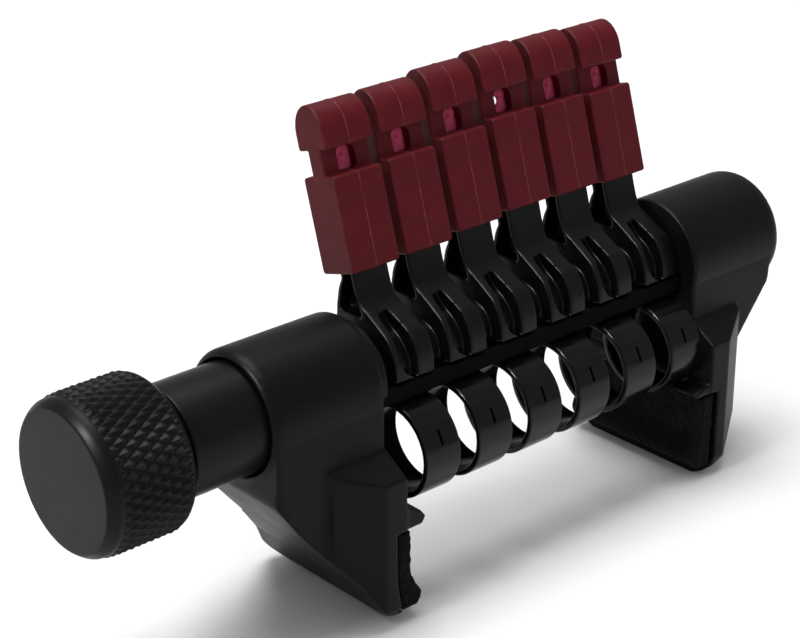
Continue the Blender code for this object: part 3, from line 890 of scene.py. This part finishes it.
def make_end_screw(metal):
    """The socket screw in the end of the fixed jaw, with its domed head and hexagon."""
    low, high = corners("end_screw")
    rings = [(low.x, 0), (low.x, SCREW_RADIUS - 0.2), (low.x + 0.2, SCREW_RADIUS),
             (SCREW_HEAD_X, SCREW_RADIUS), (SCREW_HEAD_X, SCREW_HEAD_RADIUS - 0.2),
             (SCREW_HEAD_X + 0.2, SCREW_HEAD_RADIUS), (high.x - 0.5, SCREW_HEAD_RADIUS),
             (high.x - 0.2, 2.45), (high.x - 0.03, 2.1), (high.x, 1.7), (high.x, 0)]
    socket = arc((0, 0), SOCKET_RADIUS, 0, 360, 6)[:-1]
    mesh = combined(revolved(rings, 96), [prism(socket, high.x - 1.4, high.x + 1, "X")], "DIFFERENCE")
    place("end_cap_screw", in_metres(weighted(mesh)), metal, "end_screw")


# ---------------------------------------------------------------- bar

def make_shaft(metal):
    low, high = corners("lever_shaft")
    rings = [(low.x, 0), (low.x, SHAFT_RADIUS - 0.3), (low.x + 0.3, SHAFT_RADIUS),
             (high.x - 0.3, SHAFT_RADIUS), (high.x, SHAFT_RADIUS - 0.3), (high.x, 0)]
    hole = rod(SCREW_RADIUS + GAP, SCREW_HOLE_X, high.x + 1, "X")
    mesh = combined(revolved(rings, 96), [hole], "DIFFERENCE")
    place("pivot_shaft", in_metres(weighted(mesh)), metal, "lever_shaft")


def rail_outline(margin=0.0, front=RAIL_FRONT):
    """The rail from its end: its back slopes, to follow the levers' round hubs."""
    bottom, top = RAIL_Z
    return [(front, bottom - margin), (RAIL_BOTTOM_BACK + margin, bottom - margin),
            (RAIL_TOP_BACK + margin, top + margin), (front, top + margin)]


def make_rail(plastic):
    low, high = corners("rail")
    outline = rounded([(y, z, 0.2) for y, z in rail_outline()])
    mesh = loft(outline, edge_sections(low.x, high.x, 0.15), "X")
    place("stop_rail", in_metres(weighted(mesh)), plastic, "rail")


def band_mesh():
    """An open ring that starts under the rail, with soft edges and a slit in its front."""
    centre = (BAND_Y, BAND_Z)
    outline = arc(centre, BAND_RADIUS, BAND_START, BAND_END, 90)
    outline += arc(centre, BAND_RADIUS - BAND_THICKNESS, BAND_END, BAND_START, 90)
    ring = loft(outline, edge_sections(-BAND_HALF, BAND_HALF, 0.2), "X")
    slit = prism(arc(centre, BAND_RADIUS + 1, 144, 162, 12)
                 + arc(centre, BAND_RADIUS - BAND_THICKNESS * 0.7, 162, 144, 12), -0.17, 0.17, "X")
    return weighted(combined(ring, [slit], "DIFFERENCE"))


def make_bands(plastic):
    mesh = in_metres(band_mesh())
    for i, x in enumerate(LEVER_X, 1):
        place(f"string_band_{i}", mesh, plastic, f"band_{i}", x)


# ---------------------------------------------------------------- levers

def lever_outline():
    """A lever from its side: hub, curved front, a foot that flares to the rear, and a straight arm."""
    front = smooth_line([(-4.65, STOP_Z), (-4.42, 1.35), (-3.45, 3.5), (-1.85, 4.65), (-0.1, 5.6),
                         (1.35, 6.5), lean(ARM_FRONT, 8.2), lean(ARM_FRONT, 10.3)], 8)
    top = [lean(ARM_FRONT, ARM_TOP), lean(ARM_BACK, ARM_TOP)]
    rear = smooth_line([lean(ARM_BACK, 9.4), (4.95, 7.0), (5.1, 4.5), (4.5, 2.2), (HUB_RADIUS, 0.0)], 8)
    hub = arc((0, 0), HUB_RADIUS, 0, -170, 32)[1:]
    return front + top + rear + hub + [(-HUB_RADIUS, STOP_Z)]


def recess_cutter():
    """What leaves the hollow in the hub's front, whose floor follows that front a little behind it."""
    opening = rounded([(-1.3, 5.55, 0.25), (0.15, 5.6, 0.25), (0.4, 3.6, 0), (0.4, -0.45, 0.15),
                       (0.0, -0.6, 0.1), (-1.3, 0.3, 0.5), (-2.05, 1.6, 0.5), (-1.95, 3.4, 0.5)])
    floor = smooth_line([(-3.45, -6), (-3.4, -0.3), (-2.95, 1.4), (-1.7, 2.8), (-0.5, 3.6), (0.3, 4.6),
                         (0.8, 5.6), (3, 9)], 6) + [(9, 9), (9, -6)]
    return combined(prism(opening, -9, 3, "Y"), [prism(floor, -4, 4, "X")], "DIFFERENCE")


def side_pocket():
    """The hollow in each side of an arm, between its front and rear flanges."""
    front, back = ARM_FRONT - 0.5, ARM_BACK + 0.45
    return rounded([(*lean(front, ARM_TOP + 1), 0), (*lean(back, ARM_TOP + 1), 0), (*lean(back, 9.5), 0.5),
                    (4.45, 7.0, 0.5), (4.6, 5.0, 0.4), (1.0, 5.0, 0.3), (1.85, 6.6, 0.6),
                    (*lean(front, 8.4), 0.5)])


def lever_mesh():
    """One lever about its own shaft, widest at its hub, with flanges, a front hollow and a spacer."""
    mesh = prism(lever_outline(), -LEVER_HALF, LEVER_HALF, "X")
    taper = [(-LEVER_HALF, -5), (LEVER_HALF, -5), (LEVER_HALF, 3), (ARM_HALF, 6.8), (ARM_HALF, 25),
             (-ARM_HALF, 25), (-ARM_HALF, 6.8), (-LEVER_HALF, 3)]
    mesh = combined(mesh, [prism(taper, -8, 12, "Y")], "INTERSECT")
    cuts = [recess_cutter()]
    for side in (-1, 1):
        low, high = sorted((side * 1.0, side * 4))
        cuts.append(prism(side_pocket(), low, high, "X"))
    mesh = combined(mesh, cuts, "DIFFERENCE")
    spacer = rod(SPACER_RADIUS, -PITCH + LEVER_HALF + GAP, -LEVER_HALF + 0.5, "X")
    mesh = combined(mesh, [spacer], "UNION")
    mesh = combined(mesh, [rod(SHAFT_RADIUS + GAP, -6, 6, "X")], "DIFFERENCE")
    mesh = remeshed(mesh, 0.09)
    soften(mesh, 4)
    co = points_of(mesh)
    forward, _ = upright(co[:, 1], co[:, 2])
    soften(mesh, 12, bump(-0.6, -0.1, forward))
    mesh = thinned(mesh, 0.4)
    mesh.shade_smooth()
    return mesh


def make_levers(nylon):
    mesh = in_metres(lever_mesh())
    for i, x in enumerate(LEVER_X, 1):
        place(f"finger_lever_{i}", mesh, nylon, f"lever_{i}", x)


def head_outline():
    """A head from its side: block, waist and domed cap, with their corners rounded."""
    front, back = 1.25, -3.4
    corners_at = [(HEAD_BACK, HEAD_BOTTOM, 0.35), (HEAD_FRONT, HEAD_BOTTOM, 0.35),
                  (HEAD_FRONT, BLOCK_TOP, 0.35), (NECK_FRONT, BLOCK_TOP, 0.15),
                  (NECK_FRONT, NECK_TOP, 0.15), (front, NECK_TOP, 0.3)]
    centre, half = (front + back) / 2, (front - back) / 2
    for k in range(1, 24):
        angle = pi * k / 24
        corners_at.append((centre + half * cos(angle), CAP_SIDE + (CAP_TOP - CAP_SIDE) * sin(angle), 0))
    corners_at += [(back, NECK_TOP, 0.3), (NECK_BACK, NECK_TOP, 0.15), (NECK_BACK, BLOCK_TOP, 0.15),
                   (HEAD_BACK, BLOCK_TOP, 0.35)]
    return [lean(u, w) for u, w in rounded(corners_at)]


def head_lift(index):
    """How far up its arm a head sits, from where its block ends in the frame."""
    lowest = min(z for y, z in (lean(HEAD_FRONT, HEAD_BOTTOM), lean(HEAD_BACK, HEAD_BOTTOM)))
    return (corners(f"head_{index}")[0].z - AXIS_Z - lowest) / cos(LEAN)


def head_mesh(torn):
    """One rubber head about its lever's shaft, with its parting line, its hole and its socket.

    A thin web closes the middle of the hole, and a torn one leaves part of it open.
    """
    sections = edge_sections(-HEAD_HALF, HEAD_HALF, 0.24, 5)
    middle_at = len(sections) // 2
    seam = [(-0.13, 0), (-0.05, -0.05), (0.05, -0.05), (0.13, 0)]
    sections[middle_at:middle_at] = seam
    mesh = loft(head_outline(), sections, "X")
    hole = rounded([(-HOLE_HALF, -HOLE_HIGH, 0.5), (HOLE_HALF, -HOLE_HIGH, 0.5),
                    (HOLE_HALF, HOLE_HIGH, 0.7), (-HOLE_HALF, HOLE_HIGH, 0.7)])
    cutters = [prism(hole, -3, -WEB_FRONT, "Y"), prism(hole, -WEB_BACK, 4, "Y")]
    if torn:
        cutters.append(rod(0.5, -3, 4, "Y", (-0.4, 0.1)))
    placing = Matrix.Translation((0, *lean(0, HOLE_W))) @ Matrix.Rotation(-LEAN, 4, "X")
    for cutter in cutters:
        cutter.transform(placing)
    front, back = ARM_FRONT + GAP, ARM_BACK - GAP
    top = ARM_TOP + GAP + HEAD_TRAVEL
    width = ARM_HALF + 0.1
    cutters.append(prism([lean(front, 5), lean(front, top), lean(back, top), lean(back, 5)],
                         -width, width, "X"))
    return weighted(combined(mesh, cutters, "DIFFERENCE"))


def mark_web(mesh, web):
    """Gives the web's two faces, in a head that is already in metres, a material of their own."""
    mesh.materials.append(web)
    for face in mesh.polygons:
        x, y, z = face.center / MM
        u, w = upright(y, z)
        in_hole = abs(x) < HOLE_HALF - WEB_MARGIN and abs(w - HOLE_W) < HOLE_HIGH - WEB_MARGIN
        face.material_index = int(in_hole and WEB_BACK - WEB_MARGIN < u < WEB_FRONT + WEB_MARGIN)


def make_heads(rubber, web):
    """Six heads, each as far up its arm as in the frame; the web in the fourth is torn."""
    whole = in_metres(head_mesh(torn=False))
    torn = in_metres(head_mesh(torn=True))
    for i, x in enumerate(LEVER_X, 1):
        head = place(f"rubber_head_{i}", torn if i == 4 else whole, rubber, f"head_{i}", x)
        head.location += Vector((0, *lean(0, head_lift(i)))) * MM
    for mesh in (whole, torn):
        mark_web(mesh, web)


# ---------------------------------------------------------------- stage

def make_floor():
    form = bmesh.new()
    bmesh.ops.create_grid(form, x_segments=1, y_segments=1, size=3.0)
    mesh = to_mesh(form, "floor")
    floor = bpy.data.objects.new("floor", mesh)
    bpy.context.scene.collection.objects.link(floor)
    material, tree, shader = shader_of("floor", (0.86, 0.86, 0.86), 0.8, Specular_IOR_Level=0.2)
    tree.links.new(ramp(tree, grain(tree, coordinates(tree), 0.02), [(0.3, 0.84), (0.7, 0.87)]),
                   shader.inputs["Base Color"])
    mesh.materials.append(material)


def add_light(name, place_at, aim, size, power, only_gloss=False):
    light = bpy.data.lights.new(name, "AREA")
    light.shape = "RECTANGLE"
    light.size, light.size_y = size
    light.energy = power
    obj = bpy.data.objects.new(name, light)
    bpy.context.scene.collection.objects.link(obj)
    obj.location = place_at
    obj.rotation_euler = (Vector(aim) - Vector(place_at)).to_track_quat("-Z", "Y").to_euler()
    obj.visible_diffuse = not only_gloss


def make_lights():
    """A pale room, a large soft lamp overhead, a smaller one high on the knob's side, and its glints."""
    world = bpy.data.worlds.new("room")
    world.use_nodes = True
    world.node_tree.nodes["Background"].inputs["Color"].default_value = (0.95, 0.97, 1.0, 1.0)
    world.node_tree.nodes["Background"].inputs["Strength"].default_value = 0.45
    bpy.context.scene.world = world
    add_light("overhead", (0.05, 0.15, 0.75), (0, 0, 0.02), (0.5, 0.5), 5.4)
    add_light("side", (-0.48, 0.0, 0.5), (0, 0, 0.02), (0.1, 0.1), 0.7)
    add_light("glints", (-0.48, 0.0, 0.52), (0, 0, 0.02), (0.1, 0.1), 6.0, only_gloss=True)


def make_camera():
    """The camera looks down on the clamp from beyond its knob and in front of it."""
    azimuth, elevation, distance = radians(-42.2), radians(24.93), 0.2307
    target = Vector((-0.0041, 0.0, AXIS_Z * MM))
    back = Vector((sin(azimuth) * cos(elevation), -cos(azimuth) * cos(elevation), sin(elevation)))
    camera = bpy.data.cameras.new("camera")
    camera.lens = 96.9
    camera.sensor_width = 36.0
    camera.shift_x = -0.0187
    camera.shift_y = 0.0358
    camera.clip_start = 0.01
    camera.clip_end = 20.0
    obj = bpy.data.objects.new("camera", camera)
    bpy.context.scene.collection.objects.link(obj)
    obj.location = target + back * distance
    obj.rotation_euler = back.to_track_quat("Z", "Y").to_euler()
    bpy.context.scene.camera = obj


# ---------------------------------------------------------------- build

make_camera()
make_lights()
make_floor()
bpy.context.scene.view_settings.view_transform = "Standard"

steel = turned_metal("turned_steel", (0.42, 0.42, 0.43), (0.25, 0.25, 0.26), 0.3)
brass = turned_metal("turned_brass", (0.58, 0.42, 0.18), (0.36, 0.24, 0.1), 0.34)
coating = satin_coating()
nylon = moulded_nylon()
plastic = glossy_plastic()
pad_rubber = rough_pad()

make_knob()
make_spindle(steel)
make_washer(steel)
make_barrel()
make_nut(brass)
make_pin(steel)
make_left_jaw(coating)
make_right_jaw(coating)
make_pad("sliding_jaw_pad", "left_pad", -1, LEFT_FACE, pad_rubber)
make_pad("fixed_jaw_pad", "right_pad", 1, RIGHT_FACE, pad_rubber)
make_end_screw(steel)
make_shaft(steel)
make_rail(rail_plastic_painted_shade())
make_bands(plastic)
make_levers(nylon)
make_heads(red_rubber(), web_with_painted_glow())
